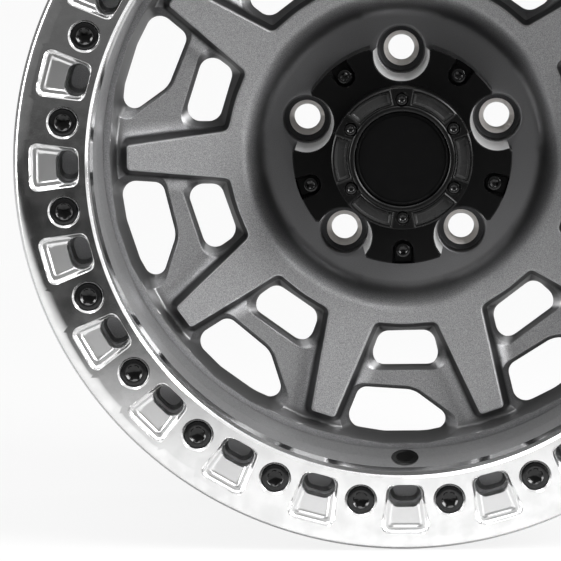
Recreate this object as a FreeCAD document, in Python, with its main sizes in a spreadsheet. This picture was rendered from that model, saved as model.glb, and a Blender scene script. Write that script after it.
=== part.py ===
"""Beadlock wheel: a cast wheel, a bolted clamp ring and a bolt-on centre cap.

Millimetres. The wheel's axis is Y, its front looks to -Y and Z is up.
The origin is the centre of the hub's mounting face. A distance named front
is measured from that face towards the front, so it lies at y = -front.
Angles are counter-clockwise as seen from the front, from +X.
"""
import FreeCAD, Part
import Sketcher
import math
import os
import re

doc = FreeCAD.newDocument("beadlock_wheel")

# Driving sizes, one cell each
SIZES = [
    ("bead_r", 218.5), ("bead_w", 20), ("shoulder_h", 13.5), ("shoulder_w", 9),
    ("seat_front", 128), ("drop_r", 198.5), ("drop_front", 80), ("drop_back", 12),
    ("rear_edge", 112), ("rear_seat", 99.3), ("rear_flange_h", 17.5), ("rear_lip_wall", 7.5),
    ("rear_seat_w", 26), ("barrel_r", 191.7), ("barrel_front", 81), ("barrel_mid_r", 189.1),
    ("ledge_front", 55), ("ledge_r", 184.4), ("rear_in_r", 190.5), ("barrel_wall", 8.5),
    ("valley_r", 180.6), ("spoke_end_r", 173.5), ("spoke_end_front", 58), ("spoke_root_front", 46),
    ("well_top_r", 98), ("well_floor_r", 88), ("floor_front", 31), ("hub_back_r", 78),
    ("bore_r", 35.75), ("spoke_back", 11), ("spoke_count", 10), ("web_front", 40),
    ("window_mid", 18), ("window_hub_r", 111.2), ("window_cw_hub", 10), ("window_ccw_hub", 11.3),
    ("window_end_r", 178.5), ("window_cw_end", 15.2), ("window_ccw_end", 16.5), ("window_corner_r", 7),
    ("inner_low_r", 118.1), ("inner_high_r", 140.3), ("inner_cw_low", 7.4), ("inner_ccw_low", 9.05),
    ("inner_cw_high", 9.85), ("inner_ccw_high", 9.85), ("inner_corner_r", 8), ("outer_low_r", 153.7),
    ("outer_cw_low", 10.7), ("outer_turn", 2.2), ("outer_tip_r", 179.6), ("outer_tip", 11.55),
    ("outer_high_r", 180.9), ("outer_high_half", 4.2), ("outer_cw_high", 12.5), ("outer_corner_r", 7),
    ("outer_turn_r", 16), ("outer_end_r", 9),
    ("lug_circle", 127), ("lug_count", 5), ("lug_hole_r", 8.35), ("lug_hole_len", 12),
    ("lug_seat_r", 11.3), ("lug_seat_h", 5), ("lug_pocket_r", 14.65),
    ("valve_r", 5.75), ("valve_face_r", 8.65), ("valve_front", 67), ("valve_tilt", 40),
    ("ring_in_r", 193.1), ("ring_lip", 21), ("ring_thick", 18), ("ring_bevel_w", 5.5),
    ("ring_bevel", 6), ("ring_edge", 1.8), ("ring_register", 2), ("register_clear", 0.5),
    ("bolt_circle_r", 210), ("bolt_count", 24), ("bolt_shank_r", 5), ("bolt_clear", 0.3),
    ("bolt_head_r", 8.4), ("bolt_head_h", 10), ("bolt_head_sunk", 1), ("bolt_reach", 24),
    ("bolt_socket", 8), ("bolt_socket_deep", 5), ("head_clear", 0.4), ("bore_chamfer", 1.3),
    ("hole_spare", 3), ("pocket_out_r", 229.4), ("pocket_in_r", 198.6), ("pocket_out_half", 15.5),
    ("pocket_in_half", 11.6), ("pocket_deep", 5), ("pocket_corner_r", 5), ("slot_r", 205.9),
    ("slot_half", 10.2), ("slot_end_r", 6.8), ("recess_deep", 18), ("recess_clear", 0.8),
    ("cap_r", 69.1), ("cap_front", 73), ("cap_edge", 1.5), ("scallop_r", 17.4),
    ("scallop_flare", 1),
    ("turret_r", 43.9), ("turret_wall", 9), ("turret_front", 99), ("turret_top", 6),
    ("cap_screw_circle_r", 60.6), ("cap_screw_r", 2.5), ("cap_screw_head_r", 4.4),
    ("cap_screw_head_h", 5), ("cap_screw_reach", 12), ("cap_screw_socket", 4), ("notch_half", 6),
    ("notch_deep", 5.5), ("screw_clear", 0.2), ("bezel_h", 9), ("bezel_lip_r", 33),
    ("bezel_lip_h", 1), ("bezel_round", 1), ("badge_r", 29.6), ("badge_clear", 0.1),
    ("badge_h", 6), ("badge_edge", 0.8), ("scoop_in_r", 34), ("scoop_out_r", 43.2),
    ("scoop_deep", 6), ("scoop_angle", 40), ("bezel_screw_count", 6), ("bezel_screw_circle_r", 36.9),
    ("bezel_screw_r", 2), ("bezel_screw_head_r", 3.5), ("bezel_screw_head_h", 3),
    ("bezel_screw_sunk", 0.8), ("bezel_screw_reach", 4.5), ("bezel_screw_socket", 3),
]
sheet = doc.addObject("Spreadsheet::Sheet", "dims")
for row, (alias, size) in enumerate(SIZES, start=1):
    sheet.set("A%d" % row, alias)
    sheet.set("B%d" % row, str(size))
    sheet.setAlias("B%d" % row, alias)
doc.recompute()


def cell(text):
    """Write every sheet alias in an expression with the sheet's name."""
    return re.sub(r"[a-z_]+", lambda w: "dims." + w[0] if w[0] in ALIASES else w[0], text)


ALIASES = {alias for alias, size in SIZES}


def value(text):
    return float(sheet.evalExpression(cell(text)))


def new_body(name):
    body = doc.addObject("PartDesign::Body", name)
    body.Label = name
    return body


def origin(body, role):
    return [f for f in body.Origin.OriginFeatures if f.Role == role][0]


def new_sketch(body, name, plane, shift=("0", "0", "0"), axis=(0, 0, 1), turn="0"):
    """Put a sketch on one of the body's planes, moved by shift and turned about axis."""
    sketch = body.newObject("Sketcher::SketchObject", name)
    sketch.AttachmentSupport = [(origin(body, plane), "")]
    sketch.MapMode = "FlatFace"
    spin = FreeCAD.Rotation(FreeCAD.Vector(*axis), value(turn))
    sketch.AttachmentOffset = FreeCAD.Placement(FreeCAD.Vector(*[value(s) for s in shift]), spin)
    for letter, text in zip("xyz", shift):
        if text != "0":
            sketch.setExpression("AttachmentOffset.Base." + letter, cell(text))
    if turn != "0":
        sketch.setExpression("AttachmentOffset.Rotation.Angle", cell(turn))
    return sketch


def drive(sketch, kind, refs, text):
    """Add a constraint whose value follows an expression of the sheet."""
    index = sketch.addConstraint(Sketcher.Constraint(kind, *refs, value(text)))
    sketch.setExpression("Constraints[%d]" % index, cell(text))


def place(sketch, geo, pos, x_text, y_text):
    """Hold a point at two expressions, or on an axis where one is nought."""
    if x_text == "0":
        sketch.addConstraint(Sketcher.Constraint("PointOnObject", geo, pos, -2))
    else:
        drive(sketch, "DistanceX", (-1, 1, geo, pos), x_text)
    if y_text == "0":
        sketch.addConstraint(Sketcher.Constraint("PointOnObject", geo, pos, -1))
    else:
        drive(sketch, "DistanceY", (-1, 1, geo, pos), y_text)


def outline(sketch, points):
    """Draw a closed polygon through points given as pairs of expressions."""
    spots = [FreeCAD.Vector(value(x), value(y), 0) for x, y in points]
    count = len(spots)
    for i in range(count):
        sketch.addGeometry(Part.LineSegment(spots[i], spots[(i + 1) % count]), False)
    for i in range(count):
        sketch.addConstraint(Sketcher.Constraint("Coincident", i, 2, (i + 1) % count, 1))
    for i, (x, y) in enumerate(points):
        place(sketch, i, 1, x, y)


def rounded(sketch, points):
    """Draw a closed polygon with rounded corners, points given as (x, y, radius)."""
    spots = [FreeCAD.Vector(value(x), value(y), 0) for x, y, r in points]
    radii = [value(r) for x, y, r in points]
    count = len(spots)
    starts, ends, middles = [], [], []
    for i in range(count):
        before = (spots[i - 1] - spots[i]).normalize()
        after = (spots[(i + 1) % count] - spots[i]).normalize()
        half = before.getAngle(after) / 2
        back = radii[i] / math.tan(half)
        inward = (before + after).normalize()
        centre = spots[i] + inward * (radii[i] / math.sin(half))
        starts.append(spots[i] + before * back)
        ends.append(spots[i] + after * back)
        middles.append(centre - inward * radii[i])
    lines = [sketch.addGeometry(Part.LineSegment(ends[i], starts[(i + 1) % count]), False)
             for i in range(count)]
    arcs = [sketch.addGeometry(Part.Arc(starts[i], middles[i], ends[i]), False)
            for i in range(count)]
    corners = [sketch.addGeometry(Part.Point(spots[i]), True) for i in range(count)]
    for i, (x, y, r) in enumerate(points):
        # An arc runs counter-clockwise, so its own start decides which line it joins first
        begin = sketch.Geometry[arcs[i]].StartPoint
        first, last = (1, 2) if begin.distanceToPoint(starts[i]) < 1e-6 else (2, 1)
        sketch.addConstraint(Sketcher.Constraint("Tangent", lines[i - 1], 2, arcs[i], first))
        sketch.addConstraint(Sketcher.Constraint("Tangent", arcs[i], last, lines[i], 1))
        drive(sketch, "Radius", (arcs[i],), r)
        place(sketch, corners[i], 1, x, y)
        sketch.addConstraint(Sketcher.Constraint("PointOnObject", corners[i], 1, lines[i - 1]))
        sketch.addConstraint(Sketcher.Constraint("PointOnObject", corners[i], 1, lines[i]))


def circle(sketch, x_text, y_text, r_text):
    centre = FreeCAD.Vector(value(x_text), value(y_text), 0)
    geo = sketch.addGeometry(Part.Circle(centre, FreeCAD.Vector(0, 0, 1), value(r_text)), False)
    drive(sketch, "Radius", (geo,), r_text)
    place(sketch, geo, 3, x_text, y_text)


def revolve(body, sketch, kind="Revolution", axis="V_Axis", angle="360"):
    feature = body.newObject("PartDesign::" + kind, sketch.Name + "_turned")
    feature.Profile = sketch
    feature.ReferenceAxis = (sketch, [axis])
    feature.Angle = value(angle)
    if angle != "360":
        feature.setExpression("Angle", cell(angle))
        feature.Midplane = True
    body.Tip = feature
    return feature


def pocket(body, sketch, deep=None):
    feature = body.newObject("PartDesign::Pocket", sketch.Name + "_cut")
    feature.Profile = sketch
    if deep is None:
        feature.Type = 1
    else:
        feature.Length = value(deep)
        feature.setExpression("Length", cell(deep))
    body.Tip = feature
    return feature


def around(body, features, count):
    """Repeat features evenly about the wheel's axis."""
    pattern = body.newObject("PartDesign::PolarPattern", features[0].Name + "_around")
    pattern.Originals = features
    pattern.Axis = (origin(body, "Y_Axis"), [""])
    pattern.Angle = 360
    pattern.Occurrences = int(value(count))
    pattern.setExpression("Occurrences", cell(count))
    body.Tip = pattern
    doc.recompute()
    return pattern


def polar(r_text, angle_text, corner=None):
    """Return the sketch coordinates of a point at a radius and an angle."""
    spot = ("(%s) * cos(%s)" % (r_text, angle_text), "(%s) * sin(%s)" % (r_text, angle_text))
    return spot if corner is None else spot + (corner,)


# The casting's section: bead register, barrel, rear flange, hub, spokes and lip
casting = new_body("wheel_casting")
section = new_sketch(casting, "casting_section", "XY_Plane")
outline(section, [
    ("ring_in_r", "0 - seat_front"),
    ("bead_r", "0 - seat_front"),
    ("bead_r", "0 - seat_front + bead_w"),
    ("bead_r + shoulder_h", "0 - seat_front + bead_w"),
    ("bead_r + shoulder_h", "0 - seat_front + bead_w + shoulder_w"),
    ("drop_r + 6", "0 - drop_front - 8"),
    ("drop_r", "0 - drop_front"),
    ("drop_r", "0 - drop_back"),
    ("bead_r - 5", "rear_seat - rear_seat_w - 38"),
    ("bead_r - 3", "rear_seat - rear_seat_w - 4"),
    ("bead_r - 0.5", "rear_seat - rear_seat_w"),
    ("bead_r - 1.8", "rear_seat - rear_seat_w + 5"),
    ("bead_r", "rear_seat - 3"),
    ("bead_r + 4", "rear_seat"),
    ("bead_r + rear_flange_h - 4", "rear_seat + 1"),
    ("bead_r + rear_flange_h", "rear_seat + 5"),
    ("bead_r + rear_flange_h", "rear_edge - 3"),
    ("bead_r + rear_flange_h - 3", "rear_edge"),
    ("bead_r - rear_lip_wall", "rear_edge"),
    ("bead_r - 3 - barrel_wall", "rear_seat - rear_seat_w - 4"),
    ("bead_r - 5 - barrel_wall", "rear_seat - rear_seat_w - 36"),
    ("rear_in_r", "0 - 2"),
    ("rear_in_r - 8", "0 - spoke_back"),
    ("hub_back_r + 8", "0 - spoke_back"),
    ("hub_back_r", "0"),
    ("bore_r", "0"),
    ("bore_r", "0 - floor_front"),
    ("well_floor_r", "0 - floor_front"),
    ("well_floor_r + 6", "0 - floor_front - 5"),
    ("well_top_r", "0 - spoke_root_front"),
    ("spoke_end_r", "0 - spoke_end_front"),
    ("spoke_end_r + 2", "0 - web_front"),
    ("valley_r", "0 - web_front"),
    ("ledge_r", "0 - ledge_front - 1"),
    ("barrel_mid_r", "0 - ledge_front + 1"),
    ("barrel_r", "0 - barrel_front"),
    ("barrel_r", "0 - seat_front + 9"),
])
revolve(casting, section)

# Windows: a wide recess between the spokes with two openings through its web
window = new_sketch(casting, "window", "XZ_Plane", ("0", "0", "spoke_end_front + 4"))
rounded(window, [
    polar("window_hub_r", "window_mid - window_cw_hub", "window_corner_r"),
    polar("window_end_r", "window_mid - window_cw_end", "window_corner_r"),
    polar("window_end_r + 1", "window_mid", "window_corner_r"),
    polar("window_end_r", "window_mid + window_ccw_end", "window_corner_r"),
    polar("window_hub_r", "window_mid + window_ccw_hub", "window_corner_r"),
])
window_cut = pocket(casting, window, "spoke_end_front + 4 - web_front")
around(casting, [window_cut], "spoke_count")
inner = new_sketch(casting, "inner_opening", "XZ_Plane", ("0", "0", "web_front + 12"))
rounded(inner, [
    polar("inner_low_r", "window_mid - inner_cw_low", "inner_corner_r"),
    polar("inner_high_r", "window_mid - inner_cw_high", "inner_corner_r"),
    polar("inner_high_r", "window_mid + inner_ccw_high", "inner_corner_r"),
    polar("inner_low_r", "window_mid + inner_ccw_low", "inner_corner_r"),
])
inner_cut = pocket(casting, inner, "web_front + 12 + 2")
around(casting, [inner_cut], "spoke_count")
outer = new_sketch(casting, "outer_opening", "XZ_Plane", ("0", "0", "web_front + 2"))
rounded(outer, [
    polar("outer_low_r", "window_mid - outer_cw_low", "outer_corner_r"),
    polar("outer_high_r - 0.4", "window_mid - outer_cw_high", "outer_end_r"),
    polar("outer_high_r", "window_mid - outer_high_half", "outer_turn_r"),
    polar("outer_high_r", "window_mid + outer_high_half", "outer_turn_r"),
    polar("outer_tip_r", "window_mid + outer_tip", "outer_corner_r"),
    polar("outer_low_r", "window_mid + outer_turn", "outer_turn_r"),
])
outer_cut = pocket(casting, outer, "web_front + 2 + 2")
around(casting, [outer_cut], "spoke_count")

# Lug holes: a through hole, a cone seat and a pocket for the nut
lug = new_sketch(casting, "lug_hole", "YZ_Plane", ("0", "lug_circle / 2", "0"))
outline(lug, [
    ("2", "0"), ("2", "lug_hole_r"),
    ("0 - lug_hole_len", "lug_hole_r"),
    ("0 - lug_hole_len - lug_seat_h", "lug_seat_r"),
    ("0 - lug_hole_len - lug_seat_h", "lug_pocket_r"),
    ("0 - floor_front - 1", "lug_pocket_r"),
    ("0 - floor_front - 1", "0"),
])
lug_cut = revolve(casting, lug, "Groove", "H_Axis")
around(casting, [lug_cut], "lug_count")

# Blind holes for the ring's bolts and the cap's screws
tapped = new_sketch(casting, "bolt_hole", "XZ_Plane", ("0", "0", "seat_front"))
circle(tapped, *polar("bolt_circle_r", "180 / bolt_count"), "bolt_shank_r + bolt_clear")
tapped_cut = pocket(casting, tapped, "bolt_reach + hole_spare")
around(casting, [tapped_cut], "bolt_count")
cap_hole = new_sketch(casting, "cap_screw_hole", "XZ_Plane", ("0", "0", "floor_front"))
circle(cap_hole, *polar("cap_screw_circle_r", "90 + 180 / lug_count"), "cap_screw_r + screw_clear")
cap_hole_cut = pocket(casting, cap_hole, "cap_screw_reach + hole_spare")
around(casting, [cap_hole_cut], "lug_count")

# Recesses in the flange behind the ring's slots
recess = new_sketch(casting, "flange_recess", "XZ_Plane", ("0", "0", "seat_front"))
recess_x = "slot_half + recess_clear"
recess_y = "slot_end_r + recess_clear"
recess_corner = "slot_end_r + recess_clear - 0.5"
rounded(recess, [
    (recess_x, "slot_r - (%s)" % recess_y, recess_corner),
    (recess_x, "slot_r + %s" % recess_y, recess_corner),
    ("0 - (%s)" % recess_x, "slot_r + %s" % recess_y, recess_corner),
    ("0 - (%s)" % recess_x, "slot_r - (%s)" % recess_y, recess_corner),
])
recess_cut = pocket(casting, recess, "recess_deep")
around(casting, [recess_cut], "bolt_count")

# Valve hole at the bottom of the barrel, with its spot face
valve = new_sketch(casting, "valve_hole", "YZ_Plane",
                   ("0 - valve_front", "0 - barrel_mid_r - 1.4", "0"), (0, 0, 1), "valve_tilt - 90")
outline(valve, [
    ("18", "0"), ("18", "valve_r"), ("2", "valve_r"), ("2", "valve_face_r"),
    ("0 - 16", "valve_face_r"), ("0 - 16", "0"),
])
revolve(casting, valve, "Groove", "H_Axis")

# The clamp ring: a flat face with bevelled edges and a register over the bead seat
ring = new_body("beadlock_ring")
ring_section = new_sketch(ring, "ring_section", "XY_Plane")
ring_face = "0 - seat_front - ring_thick"
outline(ring_section, [
    ("ring_in_r", "0 - seat_front"),
    ("ring_in_r", ring_face + " + ring_edge"),
    ("ring_in_r + ring_edge", ring_face),
    ("bead_r + ring_lip - ring_bevel_w", ring_face),
    ("bead_r + ring_lip", ring_face + " + ring_bevel"),
    ("bead_r + ring_lip", "0 - seat_front - 3"),
    ("bead_r + ring_lip - 3", "0 - seat_front + ring_register"),
    ("bead_r + register_clear", "0 - seat_front + ring_register"),
    ("bead_r + register_clear", "0 - seat_front"),
])
revolve(ring, ring_section)
bolt_angle = "180 / bolt_count"
bolt_hole = new_sketch(ring, "bolt_bore", "YZ_Plane",
                       ("0", "bolt_circle_r * cos(%s)" % bolt_angle,
                        "bolt_circle_r * sin(%s)" % bolt_angle), (1, 0, 0), bolt_angle)
head_floor = ring_face + " + bolt_head_sunk + bolt_head_h"
head_bore = "bolt_head_r + head_clear"
outline(bolt_hole, [
    ("0 - seat_front + 1", "0"), ("0 - seat_front + 1", "bolt_shank_r + bolt_clear"),
    (head_floor, "bolt_shank_r + bolt_clear"), (head_floor, head_bore),
    (ring_face + " + bore_chamfer", head_bore), (ring_face, head_bore + " + bore_chamfer"),
    (ring_face + " - 1", head_bore + " + bore_chamfer"), (ring_face + " - 1", "0"),
])
bolt_bore_cut = revolve(ring, bolt_hole, "Groove", "H_Axis")
around(ring, [bolt_bore_cut], "bolt_count")
panel = new_sketch(ring, "face_pocket", "XZ_Plane", ("0", "0", "seat_front + ring_thick"))
rounded(panel, [
    ("pocket_in_half", "pocket_in_r", "pocket_corner_r"),
    ("pocket_out_half", "pocket_out_r", "pocket_corner_r"),
    ("0 - pocket_out_half", "pocket_out_r", "pocket_corner_r"),
    ("0 - pocket_in_half", "pocket_in_r", "pocket_corner_r"),
])
panel_cut = pocket(ring, panel, "pocket_deep")
around(ring, [panel_cut], "bolt_count")
slot = new_sketch(ring, "slot", "XZ_Plane", ("0", "0", "seat_front + ring_thick"))
rounded(slot, [
    ("slot_half", "slot_r - slot_end_r", "slot_end_r - 0.3"),
    ("slot_half", "slot_r + slot_end_r", "slot_end_r - 0.3"),
    ("0 - slot_half", "slot_r + slot_end_r", "slot_end_r - 0.3"),
    ("0 - slot_half", "slot_r - slot_end_r", "slot_end_r - 0.3"),
])
slot_cut = pocket(ring, slot)
around(ring, [slot_cut], "bolt_count")


def hexagon(sketch, across_text):
    """Draw a hexagon about the sketch's origin by its width across flats."""
    corner = "(%s) / sqrt(3)" % across_text
    outline(sketch, [polar(corner, str(60 * i + 30)) for i in range(6)])


def screw(name, head_front, head_r, head_h, shank_r, tip_front, socket, socket_deep, circle_r, turn):
    """Make one socket-head screw on its circle, turned to its first angle from the top."""
    body = new_body(name)
    shape = new_sketch(body, name + "_section", "XY_Plane")
    rim = "0.6"
    outline(shape, [
        ("0", "0 - (%s)" % head_front),
        ("%s - %s" % (head_r, rim), "0 - (%s)" % head_front),
        (head_r, "0 - (%s) + %s" % (head_front, rim)),
        (head_r, "0 - (%s) + %s" % (head_front, head_h)),
        (shank_r, "0 - (%s) + %s" % (head_front, head_h)),
        (shank_r, "0 - (%s)" % tip_front),
        ("0", "0 - (%s)" % tip_front),
    ])
    revolve(body, shape)
    key = new_sketch(body, name + "_socket", "XZ_Plane", ("0", "0", head_front))
    hexagon(key, socket)
    pocket(body, key, socket_deep)
    body.setExpression("Placement.Base.x", cell("0 - %s * sin(%s)" % (circle_r, turn)))
    body.setExpression("Placement.Base.z", cell("%s * cos(%s)" % (circle_r, turn)))
    return body


def copies(name, body, count):
    """Gather a screw and its copies round the wheel's axis into one group."""
    number = int(value(count))
    links = []
    for i in range(number):
        link = doc.addObject("App::Link", "%s_%d" % (name, i + 1))
        link.LinkedObject = body
        link.LinkTransform = True
        link.Placement = FreeCAD.Placement(
            FreeCAD.Vector(0, 0, 0), FreeCAD.Rotation(FreeCAD.Vector(0, 1, 0), 360.0 * i / number))
        links.append(link)
    group = doc.addObject("Part::Compound", name)
    group.Links = links
    group.Label = name
    return group


head_front = "seat_front + ring_thick - bolt_head_sunk"
bolt = screw("ring_bolt", head_front, "bolt_head_r", "bolt_head_h", "bolt_shank_r",
             "seat_front - bolt_reach", "bolt_socket", "bolt_socket_deep",
             "bolt_circle_r", "180 / bolt_count")
doc.recompute()
bolts = copies("beadlock_bolts", bolt, "bolt_count")

# The centre cap's base: a skirt with lug scallops, a flange and a hollow turret
base = new_body("cap_base")
base_section = new_sketch(base, "cap_section", "XY_Plane")
outline(base_section, [
    ("cap_r", "0 - floor_front"),
    ("turret_r - turret_wall", "0 - floor_front"),
    ("turret_r - turret_wall", "0 - turret_front + turret_top"),
    ("0", "0 - turret_front + turret_top"),
    ("0", "0 - turret_front"),
    ("turret_r", "0 - turret_front"),
    ("turret_r", "0 - cap_front"),
    ("cap_r - cap_edge", "0 - cap_front"),
    ("cap_r", "0 - cap_front + cap_edge"),
])
revolve(base, base_section)
scallop = new_sketch(base, "scallop", "XZ_Plane", ("0", "0", "cap_front + 1"))
scallop_low = "lug_circle / 2 - scallop_r"
rounded(scallop, [
    ("scallop_r - 0.3", scallop_low, "scallop_r - 0.8"),
    ("scallop_r + scallop_flare", "cap_r + scallop_r", "scallop_r / 8"),
    ("0 - scallop_r - scallop_flare", "cap_r + scallop_r", "scallop_r / 8"),
    ("0.3 - scallop_r", scallop_low, "scallop_r - 0.8"),
])
scallop_cut = pocket(base, scallop)
around(base, [scallop_cut], "lug_count")
notch_turn = "180 / lug_count"
notch = new_sketch(base, "screw_notch", "XZ_Plane", ("0", "0", "cap_front"), (0, 0, 1), notch_turn)
rounded(notch, [
    ("notch_half", "cap_screw_circle_r - notch_half", "notch_half - 0.2"),
    ("notch_half", "cap_r + notch_half", "notch_half - 0.2"),
    ("0 - notch_half", "cap_r + notch_half", "notch_half - 0.2"),
    ("0 - notch_half", "cap_screw_circle_r - notch_half", "notch_half - 0.2"),
])
notch_cut = pocket(base, notch, "notch_deep")
around(base, [notch_cut], "lug_count")
passage = new_sketch(base, "screw_passage", "XZ_Plane", ("0", "0", "cap_front"))
circle(passage, *polar("cap_screw_circle_r", "90 + 180 / lug_count"), "cap_screw_r + screw_clear")
passage_cut = pocket(base, passage)
around(base, [passage_cut], "lug_count")
bezel_hole = new_sketch(base, "bezel_screw_hole", "XZ_Plane", ("0", "0", "turret_front"))
circle(bezel_hole, "0", "bezel_screw_circle_r", "bezel_screw_r + screw_clear")
bezel_hole_cut = pocket(base, bezel_hole, "bezel_screw_reach + 0.5")
around(base, [bezel_hole_cut], "bezel_screw_count")

# The bezel: a lip round the badge, six tabs with screws and six scoops between them
bezel = new_body("cap_bezel")
bezel_section = new_sketch(bezel, "bezel_section", "XY_Plane")
bezel_front = "0 - turret_front - bezel_h"
outline(bezel_section, [
    ("badge_r + badge_clear", "0 - turret_front"),
    ("badge_r + badge_clear", bezel_front + " - bezel_lip_h + bezel_round"),
    ("badge_r + badge_clear + bezel_round", bezel_front + " - bezel_lip_h"),
    ("bezel_lip_r - bezel_round", bezel_front + " - bezel_lip_h"),
    ("bezel_lip_r", bezel_front),
    ("turret_r - bezel_round", bezel_front),
    ("turret_r", bezel_front + " + bezel_round"),
    ("turret_r", "0 - turret_front"),
])
revolve(bezel, bezel_section)
scoop = new_sketch(bezel, "scoop", "XY_Plane")
outline(scoop, [
    ("scoop_in_r", bezel_front + " - 1"),
    ("scoop_in_r", bezel_front + " + 1"),
    ("scoop_in_r + 2", bezel_front + " + scoop_deep - 1"),
    ("scoop_in_r + 4", bezel_front + " + scoop_deep"),
    ("turret_r + 1", bezel_front + " + scoop_deep"),
    ("turret_r + 1", bezel_front + " - 1"),
])
scoop_cut = revolve(bezel, scoop, "Groove", "V_Axis", "scoop_angle")
around(bezel, [scoop_cut], "bezel_screw_count")
screw_bore = new_sketch(bezel, "bezel_screw_bore", "YZ_Plane", ("0", "bezel_screw_circle_r", "0"))
screw_floor = bezel_front + " + bezel_screw_sunk + bezel_screw_head_h"
outline(screw_bore, [
    ("0 - turret_front + 1", "0"), ("0 - turret_front + 1", "bezel_screw_r + screw_clear"),
    (screw_floor, "bezel_screw_r + screw_clear"),
    (screw_floor, "bezel_screw_head_r + screw_clear"),
    (bezel_front + " - 2", "bezel_screw_head_r + screw_clear"), (bezel_front + " - 2", "0"),
])
screw_bore_cut = revolve(bezel, screw_bore, "Groove", "H_Axis")
around(bezel, [screw_bore_cut], "bezel_screw_count")

# The badge is a plain disc in the bezel
badge = new_body("cap_badge")
badge_section = new_sketch(badge, "badge_section", "XY_Plane")
outline(badge_section, [
    ("0", "0 - turret_front"),
    ("badge_r", "0 - turret_front"),
    ("badge_r", "0 - turret_front - badge_h + badge_edge"),
    ("badge_r - badge_edge", "0 - turret_front - badge_h"),
    ("0", "0 - turret_front - badge_h"),
])
revolve(badge, badge_section)

cap_screw = screw("cap_screw", "cap_front - notch_deep + cap_screw_head_h", "cap_screw_head_r",
                  "cap_screw_head_h", "cap_screw_r", "floor_front - cap_screw_reach",
                  "cap_screw_socket", "cap_screw_head_h / 2", "cap_screw_circle_r", "180 / lug_count")
bezel_screw = screw("bezel_screw", "turret_front + bezel_h - bezel_screw_sunk", "bezel_screw_head_r",
                    "bezel_screw_head_h", "bezel_screw_r", "turret_front - bezel_screw_reach",
                    "bezel_screw_socket", "bezel_screw_head_h / 2", "bezel_screw_circle_r", "0")
doc.recompute()
cap_screws = copies("cap_mount_screws", cap_screw, "lug_count")
bezel_screws = copies("cap_bezel_screws", bezel_screw, "bezel_screw_count")
doc.recompute()

# Every object must be sound before anything is written
for item in doc.Objects:
    if "Invalid" in item.State or "Error" in item.State:
        raise RuntimeError("%s did not build: %s" % (item.Name, item.State))
os.makedirs("parts", exist_ok=True)
for node in (casting, ring, bolts, base, bezel, badge, bezel_screws, cap_screws):
    shape = node.Shape
    if shape.isNull() or not shape.isValid():
        raise RuntimeError("%s has no sound shape" % node.Label)
    shape.exportStep("parts/%s.step" % node.Label)
    print(node.Label, len(shape.Solids), round(shape.Volume))
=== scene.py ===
"""Looks of the beadlock wheel: fine surfaces, materials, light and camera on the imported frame.

The wheel's axis is Y and its front looks to -Y. Pieces are sized in millimetres,
and materials, floor, lamps and camera in metres.
A distance named front is measured from the hub's mounting face towards -Y.
Angles are counter-clockwise as seen from the front, from +X.
"""
import math

import bmesh
import bpy
import numpy as np
from mathutils import Matrix, Vector


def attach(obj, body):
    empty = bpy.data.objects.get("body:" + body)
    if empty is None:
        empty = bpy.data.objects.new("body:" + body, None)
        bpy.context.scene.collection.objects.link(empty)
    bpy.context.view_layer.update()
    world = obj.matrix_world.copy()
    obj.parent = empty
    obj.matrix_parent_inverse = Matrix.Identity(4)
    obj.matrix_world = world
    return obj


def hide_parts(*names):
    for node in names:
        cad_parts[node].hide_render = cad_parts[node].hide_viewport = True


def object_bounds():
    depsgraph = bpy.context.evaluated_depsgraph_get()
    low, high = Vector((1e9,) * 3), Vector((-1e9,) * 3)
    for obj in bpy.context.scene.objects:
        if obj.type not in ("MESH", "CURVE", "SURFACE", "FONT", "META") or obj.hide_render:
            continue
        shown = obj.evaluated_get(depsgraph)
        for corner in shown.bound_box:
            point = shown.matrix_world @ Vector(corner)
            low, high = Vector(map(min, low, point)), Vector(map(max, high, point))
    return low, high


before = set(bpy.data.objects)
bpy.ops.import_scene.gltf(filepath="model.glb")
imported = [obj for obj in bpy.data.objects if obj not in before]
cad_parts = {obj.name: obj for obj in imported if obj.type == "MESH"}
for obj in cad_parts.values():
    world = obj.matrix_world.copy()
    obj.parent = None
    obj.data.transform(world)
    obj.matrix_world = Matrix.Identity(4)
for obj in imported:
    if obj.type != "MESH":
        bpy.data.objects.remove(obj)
CAD_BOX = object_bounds()
MM = 0.001
WELD = 2e-6
SLIVER = 1e-7


def smooth_step(value, low, high):
    """Nought below low, one above high and smooth between."""
    t = np.clip((value - low) / (high - low), 0, 1)
    return t * t * (3 - 2 * t)


def smooth_min(a, b, k):
    """The lower of a and b, rounded over a width k where they cross."""
    h = np.clip(0.5 + 0.5 * (b - a) / k, 0, 1)
    return b * (1 - h) + a * h - k * h * (1 - h)


def smooth_max(a, b, k):
    """The higher of a and b, rounded over a width k where they cross."""
    return -smooth_min(-a, -b, k)


def polar(r, degrees):
    """Plane coordinates of a radius and an angle."""
    a = np.radians(degrees)
    return np.stack([r * np.cos(a), r * np.sin(a)], axis=-1)


def angle_of(point):
    """The angle of a plane point, in degrees."""
    return math.degrees(math.atan2(point[1], point[0]))


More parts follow.
